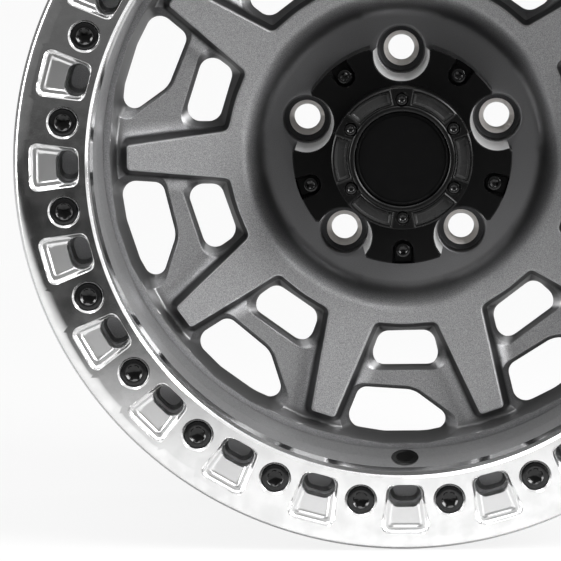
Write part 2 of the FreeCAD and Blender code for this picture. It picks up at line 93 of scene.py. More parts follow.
def rounded_path(corners, per_arc=12, closed=False):
    """A line through corners (x, y, radius): straight runs joined by arcs. An open line keeps its ends."""
    spots = np.array([c[:2] for c in corners], float)
    pieces = []
    for i, corner in enumerate(corners):
        if not closed and i in (0, len(corners) - 1):
            pieces.append(spots[i:i + 1])
            continue
        back = spots[i - 1] - spots[i]
        on = spots[(i + 1) % len(spots)] - spots[i]
        back = back / np.linalg.norm(back)
        on = on / np.linalg.norm(on)
        half = math.acos(np.clip(back @ on, -1, 1)) / 2
        inward = (back + on) / np.linalg.norm(back + on)
        radius = corner[2]
        centre = spots[i] + inward * radius / math.sin(half)
        begin = spots[i] + back * radius / math.tan(half) - centre
        end = spots[i] + on * radius / math.tan(half) - centre
        start = math.atan2(begin[1], begin[0])
        sweep = (math.atan2(end[1], end[0]) - start + math.pi) % (2 * math.pi) - math.pi
        turn = start + sweep * np.linspace(0, 1, per_arc)
        pieces.append(centre + radius * np.stack([np.cos(turn), np.sin(turn)], axis=-1))
    return np.concatenate(pieces)


def rounded_loop(corners, per_arc=12):
    """A closed line through corners (x, y, radius)."""
    return rounded_path(corners, per_arc, True)


def evenly(path, count):
    """A number of points spread evenly along an open line, its ends included."""
    gone = np.concatenate([[0.0], np.cumsum(np.linalg.norm(np.diff(path, axis=0), axis=1))])
    spots = np.linspace(0.0, gone[-1], count)
    return np.stack([np.interp(spots, gone, path[:, 0]), np.interp(spots, gone, path[:, 1])], axis=-1)


def loop_distance(points, loop):
    """Distance of each point from a closed line, positive outside it."""
    a = loop
    b = np.roll(loop, -1, axis=0)
    edge = b - a
    rel = points[..., None, :] - a
    length = np.maximum((edge ** 2).sum(-1), 1e-12)
    along = np.clip((rel * edge).sum(-1) / length, 0, 1)
    far = np.sqrt(((rel - along[..., None] * edge) ** 2).sum(-1)).min(-1)
    above = a[:, 1] > points[..., 1, None]
    crosses = above != (b[:, 1] > points[..., 1, None])
    rise = np.where(np.abs(edge[:, 1]) < 1e-12, 1e-12, edge[:, 1])
    reach = a[:, 0] + (points[..., 1, None] - a[:, 1]) / rise * edge[:, 0]
    inside = (crosses & (points[..., 0, None] < reach)).sum(-1) % 2 == 1
    return np.where(inside, -far, far)


def rays_to_loop(centre, towards, loop):
    """Where rays from a centre towards points meet a loop that is star-shaped about it."""
    rel = loop - centre
    angle = np.arctan2(rel[:, 1], rel[:, 0])
    order = np.argsort(angle)
    angle = angle[order]
    angle = np.concatenate([angle - 2 * np.pi, angle, angle + 2 * np.pi])
    spots = np.tile(np.stack([rel[order, 0], rel[order, 1]], -1), (3, 1))
    ways = towards - centre
    turn = np.arctan2(ways[:, 1], ways[:, 0])
    upper = np.searchsorted(angle, turn)
    p, q = spots[upper - 1], spots[upper]
    unit = ways / np.linalg.norm(ways, axis=1, keepdims=True)
    side = q - p
    cross = unit[:, 0] * side[:, 1] - unit[:, 1] * side[:, 0]
    length = (p[:, 0] * side[:, 1] - p[:, 1] * side[:, 0]) / np.where(abs(cross) < 1e-9, 1e-9, cross)
    return centre + unit * length[:, None]


def cell_edge(r_low, r_high, a_low, a_high, low_count, side_count, high_count):
    """Points round a cell bounded by two radii and two angles, corners included."""
    a_up = np.linspace(a_low, a_high, low_count, endpoint=False)
    r_up = np.linspace(r_low, r_high, side_count, endpoint=False)
    a_down = np.linspace(a_high, a_low, high_count, endpoint=False)
    r_down = np.linspace(r_high, r_low, side_count, endpoint=False)
    radius = np.concatenate([np.full(low_count, r_low), r_up, np.full(high_count, r_high), r_down])
    angle = np.concatenate([a_up, np.full(side_count, a_high), a_down, np.full(side_count, a_low)])
    return polar(radius, angle)


def fan(inner, outer, steps, near=(), far=()):
    """Loops from an inner loop to an outer one along straight rays, in equal steps.

    near and far list distances in mm from the inner and the outer loop for more
    loops there. They shrink on rays too short for them.
    """
    ray = outer - inner
    length = np.linalg.norm(ray, axis=1)
    low = near[-1] if near else 0.0
    high = far[-1] if far else 0.0
    shrink = np.minimum(1.0, length / max(1.6 * (low + high), 1e-9))
    gone = [0.0 * length] + [d * shrink for d in near]
    gone += [low * shrink + (length - (low + high) * shrink) * i / steps for i in range(1, steps)]
    gone += [length - d * shrink for d in reversed(far)] + [length]
    unit = ray / np.maximum(length, 1e-9)[:, None]
    return np.stack([inner + unit * d[:, None] for d in gone])


def lift(plane, front):
    """Points of the wheel's face plane at a front distance, as x, y, z."""
    front = np.broadcast_to(front, plane.shape[:-1])
    return np.stack([plane[..., 0], -front, plane[..., 1]], axis=-1)


def turned(points, degrees):
    """Points turned about the wheel's axis, counter-clockwise as seen from the front."""
    a = math.radians(degrees)
    c, s = math.cos(a), math.sin(a)
    x = points[..., 0] * c - points[..., 2] * s
    z = points[..., 0] * s + points[..., 2] * c
    return np.stack([x, points[..., 1], z], axis=-1)


def quads(rows, columns, closed):
    """Index quads of a rows by columns grid, closed along its columns or open."""
    last = columns if closed else columns - 1
    i, j = np.meshgrid(np.arange(rows - 1), np.arange(last), indexing="ij")
    k = (j + 1) % columns
    return np.stack([i * columns + j, i * columns + k, (i + 1) * columns + k, (i + 1) * columns + j],
                    axis=-1).reshape(-1, 4)


class Shell:
    """A mesh gathered from grids of points, then welded into one surface."""

    def __init__(self):
        self.points, self.faces, self.count = [], [], 0

    def grid(self, points, closed=True):
        """Add a grid of points, joined by quads."""
        rows, columns = points.shape[:2]
        self.points.append(points.reshape(-1, 3))
        self.faces.append(quads(rows, columns, closed) + self.count)
        self.count += rows * columns

    def cap(self, loop):
        """Close a loop of points with quads to its middle."""
        middle = np.broadcast_to(loop.mean(axis=0), loop.shape)
        self.grid(np.stack([loop, middle]), True)

    def repeat(self, number, first=0.0):
        """Copies of everything so far, spread evenly about the axis."""
        points = np.concatenate(self.points)
        faces = np.concatenate(self.faces)
        self.points = [turned(points, first + 360.0 * i / number) for i in range(number)]
        self.faces = [faces + len(points) * i for i in range(number)]
        self.count = len(points) * number

    def finish(self, name, material, cad_node, sharp=32.0):
        """Weld the grids, turn the faces outwards and put the piece in a CAD node's place."""
        mesh = bpy.data.meshes.new(name)
        points = np.concatenate(self.points) * MM
        mesh.from_pydata(points, [], np.concatenate(self.faces))
        work = bmesh.new()
        work.from_mesh(mesh)
        bmesh.ops.remove_doubles(work, verts=work.verts, dist=WELD)
        bmesh.ops.dissolve_degenerate(work, edges=work.edges, dist=SLIVER)
        bmesh.ops.recalc_face_normals(work, faces=work.faces)
        work.to_mesh(mesh)
        work.free()
        mesh.shade_smooth()
        mesh.set_sharp_from_angle(angle=math.radians(sharp))
        piece = bpy.data.objects.new(name, mesh)
        bpy.context.scene.collection.objects.link(piece)
        piece.data.materials.append(material)
        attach(piece, "root")
        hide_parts(cad_node)


def lathe(shell, profile, angles, closed=True):
    """A profile of (radius, front) points turned about the wheel's axis."""
    profile = np.array(profile, float)
    plane = polar(np.ones(len(angles)), angles)
    rings = [lift(plane * r, f) for r, f in profile]
    shell.grid(np.stack(rings), closed)


def softened(profile, radii, per_arc=5):
    """An open profile of (radius, front) points with its inner corners rounded.

    Each corner becomes a quadratic curve between the spots where an arc would touch its sides.
    """
    spots = np.array(profile, float)
    out = [spots[:1]]
    for i in range(1, len(spots) - 1):
        r = radii[i]
        back, on = spots[i - 1] - spots[i], spots[i + 1] - spots[i]
        reach = min(np.linalg.norm(back), np.linalg.norm(on)) * 0.48
        back, on = back / np.linalg.norm(back), on / np.linalg.norm(on)
        half = math.acos(np.clip(back @ on, -1, 1)) / 2
        if r <= 0 or half > 1.55:
            out.append(spots[i:i + 1])
            continue
        r = min(r, reach * math.tan(half))
        t = np.linspace(0, 1, per_arc)[:, None]
        p0 = spots[i] + back * r / math.tan(half)
        p2 = spots[i] + on * r / math.tan(half)
        out.append((1 - t) ** 2 * p0 + 2 * t * (1 - t) * spots[i] + t ** 2 * p2)
    out.append(spots[-1:])
    return np.concatenate(out)


# Materials

FLAKE_DARK = (0.27, 0.27, 0.275, 1)
FLAKE_LIGHT = (0.50, 0.50, 0.505, 1)
FLAKE_SCALE = 2000.0
# Painted shade: a dark grey mixed into the paint below the spokes' tops and over the hub, and how much of it
DEEP_PAINTED_SHADE = (0.14, 0.14, 0.143, 1)
DEEP_PAINTED_SHADE_SHARE = 0.85
# Painted shade between the spokes: on the walls, on the bands in the openings and in the valley by the barrel
WALL_PAINTED_SHADE = (0.07, 0.07, 0.072, 1)
BAND_PAINTED_SHADE = (0.28, 0.28, 0.283, 1)
OUTER_PAINTED_SHADE = (0.24, 0.24, 0.242, 1)
# Painted highlight: a pale line along the spokes' edges
EDGE_PAINTED_HIGHLIGHT = (0.75, 0.75, 0.755, 1)
# Painted shade in the valve pocket
VALVE_PAINTED_SHADE = (0.09, 0.09, 0.09, 1)
# Painted shade in the lug pockets
POCKET_PAINTED_SHADE = (0.06, 0.06, 0.062, 1)
LIP_METAL = (0.86, 0.86, 0.86, 1)
SEAT_METAL = (0.92, 0.89, 0.86, 1)
# Painted reflection: light grey metal on the bright scallop walls of the cap
SCALLOP_REFLECTION_GREY = (0.72, 0.72, 0.72, 1)
GLOSS_SPREAD = 0.10


def new_material(name):
    """A material whose only shader is a Principled BSDF, with its tree and that node."""
    material = bpy.data.materials.new(name)
    material.use_nodes = True
    tree = material.node_tree
    return material, tree, tree.nodes["Principled BSDF"]


def set_input(tree, socket, given):
    """Join an input to another socket, or set its value."""
    if isinstance(given, bpy.types.NodeSocket):
        tree.links.new(given, socket)
    else:
        socket.default_value = given


def node(tree, kind, **inputs):
    """A node whose inputs are given by name, or by number with the keys i0, i1 and so on."""
    made = tree.nodes.new(kind)
    for key, given in inputs.items():
        numbered = key[0] == "i" and key[1:].isdigit()
        set_input(tree, made.inputs[int(key[1:]) if numbered else key], given)
    return made


def math_node(tree, operation, a, b=0.0, c=0.0):
    """A calculation with up to three numbers or sockets, as a socket."""
    made = node(tree, "ShaderNodeMath", i0=a, i1=b, i2=c)
    made.operation = operation
    return made.outputs[0]


def product(tree, share, *others):
    """Several sockets multiplied, as a socket."""
    for other in others:
        share = math_node(tree, "MULTIPLY", share, other)
    return share


def ramp(tree, value, low, high):
    """Nought at low, one at high and smooth between, either way round, as a socket."""
    made = node(tree, "ShaderNodeMapRange", Value=value)
    made.interpolation_type = "SMOOTHSTEP"
    made.inputs["From Min"].default_value = low
    made.inputs["From Max"].default_value = high
    return made.outputs["Result"]


def mix_colour(tree, share, low, high):
    """A colour between two by a share, as a socket."""
    made = tree.nodes.new("ShaderNodeMix")
    made.data_type = "RGBA"
    for number, given in ((0, share), (6, low), (7, high)):
        set_input(tree, made.inputs[number], given)
    return made.outputs[2]


def mix_value(tree, share, low, high):
    """A number between two by a share, as a socket."""
    return node(tree, "ShaderNodeMix", i0=share, i2=low, i3=high).outputs[0]


def grey_colour(tree, level):
    """A grey of one level, as a socket."""
    return node(tree, "ShaderNodeCombineColor", i0=level, i1=level, i2=level).outputs[0]


def place_parts(tree):
    """Object coordinates in metres, as the vector and as radius and front sockets."""
    coords = tree.nodes.new("ShaderNodeTexCoord").outputs["Object"]
    split = node(tree, "ShaderNodeSeparateXYZ", Vector=coords)
    square = math_node(tree, "MULTIPLY", split.outputs[0], split.outputs[0])
    square = math_node(tree, "MULTIPLY_ADD", split.outputs[2], split.outputs[2], square)
    radius = math_node(tree, "SQRT", square)
    front = math_node(tree, "MULTIPLY", split.outputs[1], -1.0)
    return coords, radius, front


def new_group(name, inputs, outputs):
    """An empty shader node group with named sockets, and its two inner end nodes."""
    group = bpy.data.node_groups.new(name, "ShaderNodeTree")
    for way, sockets in (("INPUT", inputs), ("OUTPUT", outputs)):
        for label, kind in sockets.items():
            group.interface.new_socket(name=label, in_out=way, socket_type="NodeSocket" + kind)
    return group, group.nodes.new("NodeGroupInput"), group.nodes.new("NodeGroupOutput")


def put_group(tree, group, **inputs):
    """The outputs of a group that is placed in a tree with its own values."""
    made = tree.nodes.new("ShaderNodeGroup")
    made.node_tree = group
    for label, given in inputs.items():
        set_input(tree, made.inputs[label], given)
    return made.outputs


def flake_group():
    """Fine flake in paint: a smooth step of the noise mixes a light colour into a dark one."""
    group, given, result = new_group(
        "paint_flake", {"Vector": "Vector", "Scale": "Float", "Dark": "Color", "Light": "Color"},
        {"Colour": "Color", "Grain": "Float"})
    noise = node(group, "ShaderNodeTexNoise", Vector=given.outputs["Vector"],
                 Scale=given.outputs["Scale"], Detail=1.0)
    spark = ramp(group, noise.outputs["Fac"], 0.30, 0.78)
    colour = mix_colour(group, spark, given.outputs["Dark"], given.outputs["Light"])
    group.links.new(colour, result.inputs["Colour"])
    group.links.new(noise.outputs["Fac"], result.inputs["Grain"])
    return group


def gloss_group():
    """Uneven gloss: the noise times a spread is added to the lowest roughness."""
    group, given, result = new_group(
        "uneven_gloss",
        {"Vector": "Vector", "Scale": "Float", "Detail": "Float", "Spread": "Float", "Lowest": "Float"},
        {"Roughness": "Float", "Noise": "Float"})
    noise = node(group, "ShaderNodeTexNoise", Vector=given.outputs["Vector"],
                 Scale=given.outputs["Scale"], Detail=given.outputs["Detail"])
    rough = math_node(group, "MULTIPLY_ADD", noise.outputs["Fac"], given.outputs["Spread"],
                      given.outputs["Lowest"])
    group.links.new(rough, result.inputs["Roughness"])
    group.links.new(noise.outputs["Fac"], result.inputs["Noise"])
    return group


FLAKE = flake_group()
GLOSS = gloss_group()


def gunmetal(tree, coords):
    """The flake group with the casting's own paint colours."""
    return put_group(tree, FLAKE, Vector=coords, Scale=FLAKE_SCALE, Dark=FLAKE_DARK, Light=FLAKE_LIGHT)


def window_painted_light(tree, radius, front, drop, paint):
    """Painted light between the spokes: painted shade on the walls, plain paint on the webs, painted shade on
    the bands in the openings and by the barrel, and a painted highlight on the spoke edges.

    Masks are smooth steps of the drop below the spokes' tops, of the height over the
    web's cone, of the front distance and of the radius.
    """
    # Painted shade on the walls, the bands and the valley by the barrel; the webs keep the plain paint
    wall = ramp(tree, drop, 0.0008, 0.0030)
    cone = math_node(tree, "MULTIPLY_ADD", radius, -0.10, 0.015)
    over_web = math_node(tree, "ADD", front, cone)
    web = product(tree, ramp(tree, over_web, 0.0448, 0.0406), ramp(tree, radius, 0.118, 0.130))
    band = ramp(tree, front, 0.0388, 0.0378)
    outer = ramp(tree, radius, 0.1755, 0.1800)
    # Painted highlight: a pale line just below the spokes' edges
    edge = product(tree, ramp(tree, drop, 0.0001, 0.0004), ramp(tree, drop, 0.0013, 0.0007))
    colour = mix_colour(tree, wall, paint, WALL_PAINTED_SHADE)
    colour = mix_colour(tree, web, colour, paint)
    colour = mix_colour(tree, band, colour, BAND_PAINTED_SHADE)
    colour = mix_colour(tree, outer, colour, OUTER_PAINTED_SHADE)
    return mix_colour(tree, edge, colour, EDGE_PAINTED_HIGHLIGHT)


def valve_shade_mask(tree, coords, radius, front):
    """One in the valve pocket, where shade is painted: beyond the barrel's inner wall, at the bottom, in
    front of the webs.
    """
    spot = node(tree, "ShaderNodeSeparateXYZ", Vector=coords)
    aside = math_node(tree, "ABSOLUTE", spot.outputs[0])
    cone = math_node(tree, "MULTIPLY_ADD", front, 0.0963, 0.1839)
    beyond = math_node(tree, "SUBTRACT", radius, math_node(tree, "MINIMUM", cone, 0.1917))
    return product(tree, ramp(tree, beyond, 0.0005, 0.0009), ramp(tree, radius, 0.1984, 0.1980),
                   ramp(tree, aside, 0.0100, 0.0095), ramp(tree, spot.outputs[2], -0.185, -0.188),
                   ramp(tree, front, 0.1185, 0.1180), ramp(tree, front, 0.0440, 0.0460))


def paint_material():
    """Satin gunmetal paint with fine flake, painted shade below the spokes' tops, painted shade and highlight
    between them, and a bare machined lip.
    """
    material, tree, shader = new_material("gunmetal_paint")
    coords, radius, front = place_parts(tree)
    paint = gunmetal(tree, coords)
    top = math_node(tree, "MULTIPLY_ADD", radius, 0.159, 0.0304)
    drop = math_node(tree, "SUBTRACT", top, front)
    # Painted shade: the paint darkens with the drop below the spokes' tops
    deep = ramp(tree, drop, 0.001, 0.012)
    painted_shade_paint = mix_colour(tree, DEEP_PAINTED_SHADE_SHARE, paint["Colour"], DEEP_PAINTED_SHADE)
    colour = mix_colour(tree, deep, paint["Colour"], painted_shade_paint)
    between = product(tree, ramp(tree, radius, 0.104, 0.109), ramp(tree, radius, 0.1856, 0.1846))
    window = window_painted_light(tree, radius, front, drop, paint["Colour"])
    colour = mix_colour(tree, between, colour, window)
    # Painted shade in the valve pocket
    colour = mix_colour(tree, valve_shade_mask(tree, coords, radius, front), colour, VALVE_PAINTED_SHADE)
    lip = product(tree, ramp(tree, front, 0.1188, 0.1192), ramp(tree, radius, 0.1885, 0.189))
    metallic = mix_value(tree, deep, 0.85, 0.92)
    rough = mix_value(tree, deep, 0.47, 0.43)
    bump = node(tree, "ShaderNodeBump", Strength=0.05, Distance=0.0002, Height=paint["Grain"])
    tree.links.new(mix_colour(tree, lip, colour, LIP_METAL), shader.inputs["Base Color"])
    tree.links.new(mix_value(tree, lip, metallic, 1.0), shader.inputs["Metallic"])
    tree.links.new(mix_value(tree, lip, rough, 0.08), shader.inputs["Roughness"])
    tree.links.new(bump.outputs[0], shader.inputs["Normal"])
    return material


def hub_material():
    """The same paint on the hub with painted shade, darker still in the lug pockets, with bare metal in the
    lug seats.
    """
    material, tree, shader = new_material("hub_paint")
    coords, _, front = place_parts(tree)
    bare = ramp(tree, front, 0.01695, 0.0168)
    pocket = ramp(tree, front, 0.0308, 0.0290)
    # Painted shade: the whole hub takes the darker paint of the recesses
    colour = mix_colour(tree, DEEP_PAINTED_SHADE_SHARE, gunmetal(tree, coords)["Colour"], DEEP_PAINTED_SHADE)
    # Painted shade in the lug pockets
    colour = mix_colour(tree, pocket, colour, POCKET_PAINTED_SHADE)
    tree.links.new(mix_colour(tree, bare, colour, SEAT_METAL), shader.inputs["Base Color"])
    tree.links.new(mix_value(tree, bare, 0.92, 0.2), shader.inputs["Metallic"])
    tree.links.new(mix_value(tree, bare, 0.43, 0.34), shader.inputs["Roughness"])
    return material


def ring_material():
    """Bare aluminium: a polished face with faint smears, and rougher milled pocket floors."""
    material, tree, shader = new_material("machined_ring")
    coords, _, front = place_parts(tree)
    smear = put_group(tree, GLOSS, Vector=coords, Scale=90.0, Detail=4.0, Spread=GLOSS_SPREAD, Lowest=0.06)
    milled = ramp(tree, front, 0.1452, 0.1436)
    shade = mix_value(tree, ramp(tree, smear["Noise"], 0.35, 0.65), 0.82, 0.93)
    shade = mix_value(tree, milled, shade, 0.84)
    bump = node(tree, "ShaderNodeBump", Strength=0.04, Distance=0.0005, Height=smear["Noise"])
    shader.inputs["Metallic"].default_value = 1.0
    tree.links.new(grey_colour(tree, shade), shader.inputs["Base Color"])
    tree.links.new(mix_value(tree, milled, smear["Roughness"], 0.30), shader.inputs["Roughness"])
    tree.links.new(bump.outputs[0], shader.inputs["Normal"])
    return material


def black_material(name, level, rough, sheen=0.5, scoop_sheen_level=None):
    """Satin black finish with slightly uneven gloss.

    A scoop sheen level is a lighter grey below the bezel's face, outside its lip: a painted sheen in the
    scoops.
    """
    material, tree, shader = new_material(name)
    coords, radius, front = place_parts(tree)
    gloss = put_group(tree, GLOSS, Vector=coords, Scale=180.0, Detail=3.0, Spread=GLOSS_SPREAD,
                      Lowest=rough - GLOSS_SPREAD / 2)
    shader.inputs["Base Color"].default_value = (level, level, level * 1.03, 1)
    shader.inputs["Specular IOR Level"].default_value = sheen
    if scoop_sheen_level is not None:
        # Painted sheen: the bezel's scoops take a lighter grey
        scoop = product(tree, ramp(tree, front, 0.1076, 0.1068), ramp(tree, radius, 0.0338, 0.0342))
        shade = mix_value(tree, scoop, level, scoop_sheen_level)
        tree.links.new(grey_colour(tree, shade), shader.inputs["Base Color"])
    tree.links.new(gloss["Roughness"], shader.inputs["Roughness"])
    return material


def scallop_reflection_material():
    """Light grey metal on the cap's scallop walls: a painted reflection of the light they catch."""
    material, _, shader = new_material("scallop_painted_reflection")
    shader.inputs["Base Color"].default_value = SCALLOP_REFLECTION_GREY
    shader.inputs["Metallic"].default_value = 0.4
    shader.inputs["Roughness"].default_value = 0.45
    return material


PAINT = paint_material()
SCALLOP_REFLECTION = scallop_reflection_material()
HUB_PAINT = hub_material()
RING_METAL = ring_material()
BOLT_BLACK = black_material("bolt_black", 0.004, 0.16)
CAP_BLACK = black_material("cap_black", 0.0015, 0.32, 0.18)
BEZEL_BLACK = black_material("bezel_black", 0.002, 0.28, 0.25, 0.024)
BADGE_BLACK = black_material("badge_black", 0.002, 0.22, 0.25)
SCREW_BLACK = black_material("screw_black", 0.003, 0.18)

# The casting's spokes and webs, one window of 36 degrees repeated ten times
SPOKES = 10
HALF_WINDOW = 180.0 / SPOKES
SEAM_R = 145.3
HUB_R = 84.0
LEDGE_R = 189.1
BACK = 11.0
NECK_DROP = 3.8
WEB = 40.0
WEB_FILLET = 14.0
FLOOR = 31.0
SPOKE_END = 173.5
HUB_SIDE = 108.6
WALL_SLOPE = 3.0
TOP_ROOT = 46.0
TOP_RISE = 12.0 / 75.5
WELL_TOP_R = 98.0
WELL_FOOT_R = 88.5
VALLEY_R = 180.6
LEDGE_TOP_R = 184.4
LEDGE_FRONT = 56.0


def on_line(start, end, axis, level):
    """The point of the line through two points whose part along an axis is a given level."""
    way = end - start
    return start + way * (level - start @ axis) / (way @ axis)


def on_radius(start, end, radius):
    """The outer point of the line through two points at a radius."""
    way = (end - start) / np.linalg.norm(end - start)
    middle = start @ way
    return start + way * (-middle + math.sqrt(middle ** 2 - start @ start + radius ** 2))


# Corners of the area that lies below the spokes' tops
CCW_EDGE = (polar(114.6, 11.5), polar(174.4, 16.25))
CW_EDGE = (polar(114.8, -10.2), polar(174.4, -14.9))
CCW_TIP = on_line(*CCW_EDGE, polar(1.0, HALF_WINDOW), SPOKE_END)
CW_TIP = on_line(*CW_EDGE, polar(1.0, -HALF_WINDOW), SPOKE_END)
CCW_MID, CW_MID = polar(SPOKE_END, HALF_WINDOW), polar(SPOKE_END, -HALF_WINDOW)
CCW_HUB = on_line(*CCW_EDGE, np.array([1.0, 0.0]), HUB_SIDE)
CW_HUB = on_line(*CW_EDGE, np.array([1.0, 0.0]), HUB_SIDE)
CCW_SEAM, CW_SEAM = on_radius(*CCW_EDGE, SEAM_R), on_radius(*CW_EDGE, SEAM_R)
CCW_SIDE = evenly(rounded_path([(*CCW_MID, 0), (*CCW_TIP, 1.8), (*CCW_SEAM, 0)]), 36)
HUB_END = evenly(rounded_path([(*CCW_SEAM, 0), (*CCW_HUB, 5.0), (HUB_SIDE + 1.5, 0.6, 80.0),
                              (*CW_HUB, 5.0), (*CW_SEAM, 0)]), 100)
CW_SIDE = evenly(rounded_path([(*CW_SEAM, 0), (*CW_TIP, 1.8), (*CW_MID, 0)]), 36)
EDGE = np.concatenate([CCW_SIDE, HUB_END[1:], CW_SIDE[1:]])
SEAM = polar(SEAM_R, np.linspace(angle_of(CW_SEAM), angle_of(CCW_SEAM), 56))
LOW_AREA = np.concatenate([EDGE, [2 * CW_MID - CW_TIP], polar(240.0, np.array([-27.0, 27.0])),
                           [2 * CCW_MID - CCW_TIP]])


def web_level(r):
    """The web's front by radius: a shallow cone, and lower towards the hub."""
    return WEB + (r - 150.0) * 0.10 - 10.0 * (1 - smooth_step(r, 113.0, 134.0))


def neck_level(r):
    """The front of an opening's narrowest line by radius: below the web, and lower by the barrel."""
    return web_level(r) - NECK_DROP - 5.0 * smooth_step(r, 168.0, 181.0)


def casting_front(points):
    """The casting's front: spoke tops, recessed webs, spoke ends, ledge and hub well.

    The tops are a shallow cone. Walls fall from their edges at a steep slope into a
    wide hollow fillet, and the web, the ledge by the barrel and the hub's well are
    planes or cones. Parts meet through smooth minimum and maximum.
    """
    r = np.linalg.norm(points, axis=-1)
    top = TOP_ROOT + (r - WELL_TOP_R) * TOP_RISE
    deep = -loop_distance(points, LOW_AREA)
    front = smooth_min(top, top - WALL_SLOPE * deep, 1.6)
    hollow = 6.0 * np.clip(1 - deep / WEB_FILLET, 0, 1) ** 2 * smooth_step(r, 114.0, 134.0)
    front = smooth_max(front, web_level(r) + hollow, 4.0)
    ledge = smooth_min(WEB + (r - VALLEY_R) * 4.2, LEDGE_FRONT - (r - LEDGE_TOP_R) * 0.42, 1.5)
    front = smooth_max(front, ledge, 5.0)
    well = smooth_max(FLOOR, FLOOR + (r - WELL_FOOT_R) * 1.6, 2.5)
    return smooth_min(front, well, 5.0)


# Openings: where each is narrowest, and its wider rim at the front
INNER_MID, OUTER_MID = np.array([128.0, 0.7]), np.array([168.0, -4.0])
INNER_NECK = rounded_loop([
    (*polar(118.1, -7.4), 8.0), (*polar(118.1, 9.05), 8.0),
    (*polar(140.3, 9.85), 8.5), (*polar(140.3, -9.85), 8.5)])
INNER_RIM = rounded_loop([
    (*polar(115.4, -9.3), 8.0), (*polar(115.4, 10.9), 8.0),
    (*polar(143.9, 12.2), 9.5), (*polar(143.9, -12.2), 9.5)])
OUTER_NECK = rounded_loop([
    (*polar(153.7, -10.7), 7.0), (*polar(153.7, 2.2), 16.0), (*polar(179.6, 11.55), 7.0),
    (*polar(180.9, 4.2), 20.0), (*polar(180.9, -4.2), 20.0), (*polar(180.5, -12.5), 9.0)])
OUTER_RIM = rounded_loop([
    (*polar(151.6, -12.0), 8.0), (*polar(151.4, 2.5), 22.0), (*polar(184.6, 14.0), 8.0),
    (*polar(186.1, 4.2), 20.0), (*polar(186.1, -4.2), 20.0), (*polar(185.2, -13.9), 10.0)])
NEAR_RIM = (0.3, 0.8, 1.6)
NEAR_EDGE = (0.2, 0.45, 0.8, 1.5, 2.6, 4.2)
SPOKE_SHARP = 50.0


def opening(shell, neck_loop, rim_loop, centre, edge, turn):
    """One opening with its walls, and the front and back from it to an edge.

    The edge's points pair with directions from the opening's centre. The wall is ruled
    between neck and rim at the front, and flares again to the back.
    """
    towards = centre + np.stack([np.cos(turn), np.sin(turn)], axis=-1)
    neck = rays_to_loop(centre, towards, neck_loop)
    rim = rays_to_loop(centre, towards, rim_loop)
    flare = rim - neck
    plane = fan(rim, edge, 12, NEAR_RIM, NEAR_EDGE)
    front = casting_front(plane)
    front[0] -= 0.30
    front[1] -= 0.06
    level = neck_level(np.linalg.norm(neck, axis=-1))
    wall = [lift(neck + flare * k, level + (front[0] - level) * k) for k in (0.0, 0.3, 0.6, 0.9, 0.97)]
    shell.grid(np.concatenate([np.stack(wall), lift(plane, front)]))
    behind = ((0.0, level), (0.02, level - 1.0), (0.3, 21.0), (0.6, 16.0), (0.9, BACK))
    shell.grid(np.stack([lift(neck + flare * k, f) for k, f in behind]))
    shell.grid(lift(fan(neck + flare * 0.9, edge, 4), BACK))


def build_inner_spokes():
    """The hub's side of each window: the inner opening up to the seam, and the spokes beside it.

    Tops and back are ruled from the window's edge to the spokes' middle lines and the hub.
    """
    spokes = Shell()
    edge = np.concatenate([HUB_END, SEAM[1:-1]])
    turn = np.arctan2(edge[:, 1] - INNER_MID[1], edge[:, 0] - INNER_MID[0])
    opening(spokes, INNER_NECK, INNER_RIM, INNER_MID, edge, turn)
    marks = np.cumsum([0, 35, 31, 6, 25, 6, 31, 35])
    spot = np.arange(len(EDGE))
    radius = np.interp(spot, marks, (SPOKE_END, 146.0, 97.0, HUB_R, HUB_R, 97.0, 146.0, SPOKE_END))
    angle = np.interp(spot, marks, [HALF_WINDOW] * 4 + [-HALF_WINDOW] * 4)
    middle = polar(radius, angle)
    tops = fan(EDGE, middle, 10, (0.2, 0.5, 1.2))
    spokes.grid(lift(tops, casting_front(tops)), False)
    spokes.grid(lift(fan(EDGE, middle, 3), BACK), False)
    spokes.repeat(SPOKES, HALF_WINDOW)
    spokes.finish("spokes_inner", PAINT, "wheel_casting", SPOKE_SHARP)


def build_outer_spokes():
    """The barrel's side of each window: the outer opening up to the seam, the spokes' sides and the ledge.

    The edge's points are spread over directions from the opening's middle, run by run.
    """
    spokes = Shell()
    ledge = polar(LEDGE_R, np.linspace(-HALF_WINDOW, HALF_WINDOW, 73))
    ccw_line = polar(np.linspace(LEDGE_R, SPOKE_END, 16), HALF_WINDOW)
    cw_line = polar(np.linspace(SPOKE_END, LEDGE_R, 16), -HALF_WINDOW)
    runs = (ledge, ccw_line, CCW_SIDE, SEAM[::-1], CW_SIDE, cw_line)
    edge = np.concatenate([run[:-1] for run in runs])
    tip = 5
    marks = np.cumsum([0, 72, 15, tip, 35 - tip, 55, 35 - tip, tip, 15])
    turn = np.radians(np.interp(np.arange(len(edge)), marks,
                                (-60.0, 55.0, 68.0, 80.0, 124.5, 226.6, 278.0, 285.0, 300.0)))
    opening(spokes, OUTER_NECK, OUTER_RIM, OUTER_MID, edge, turn)
    spokes.repeat(SPOKES, HALF_WINDOW)
    spokes.finish("spokes_outer", PAINT, "wheel_casting", SPOKE_SHARP)


# The hub's floor with five lug pockets
LUGS = 5
LUG_R = 63.5
LUG_HOLE_R = 8.35
LUG_CHAMFER = 0.6
LUG_PROFILE = [(LUG_HOLE_R, LUG_CHAMFER), (LUG_HOLE_R, 12.0), (11.3, 17.0), (13.9, 17.0), (14.4, 17.2),
               (14.65, 17.7), (14.65, 29.6), (14.9, 30.3), (15.4, 30.8), (16.2, FLOOR)]
LUG_FIRST = 90.0
BORE_R = 35.75
BORE_POINTS = 40
HUB_BACK_R = 78.0


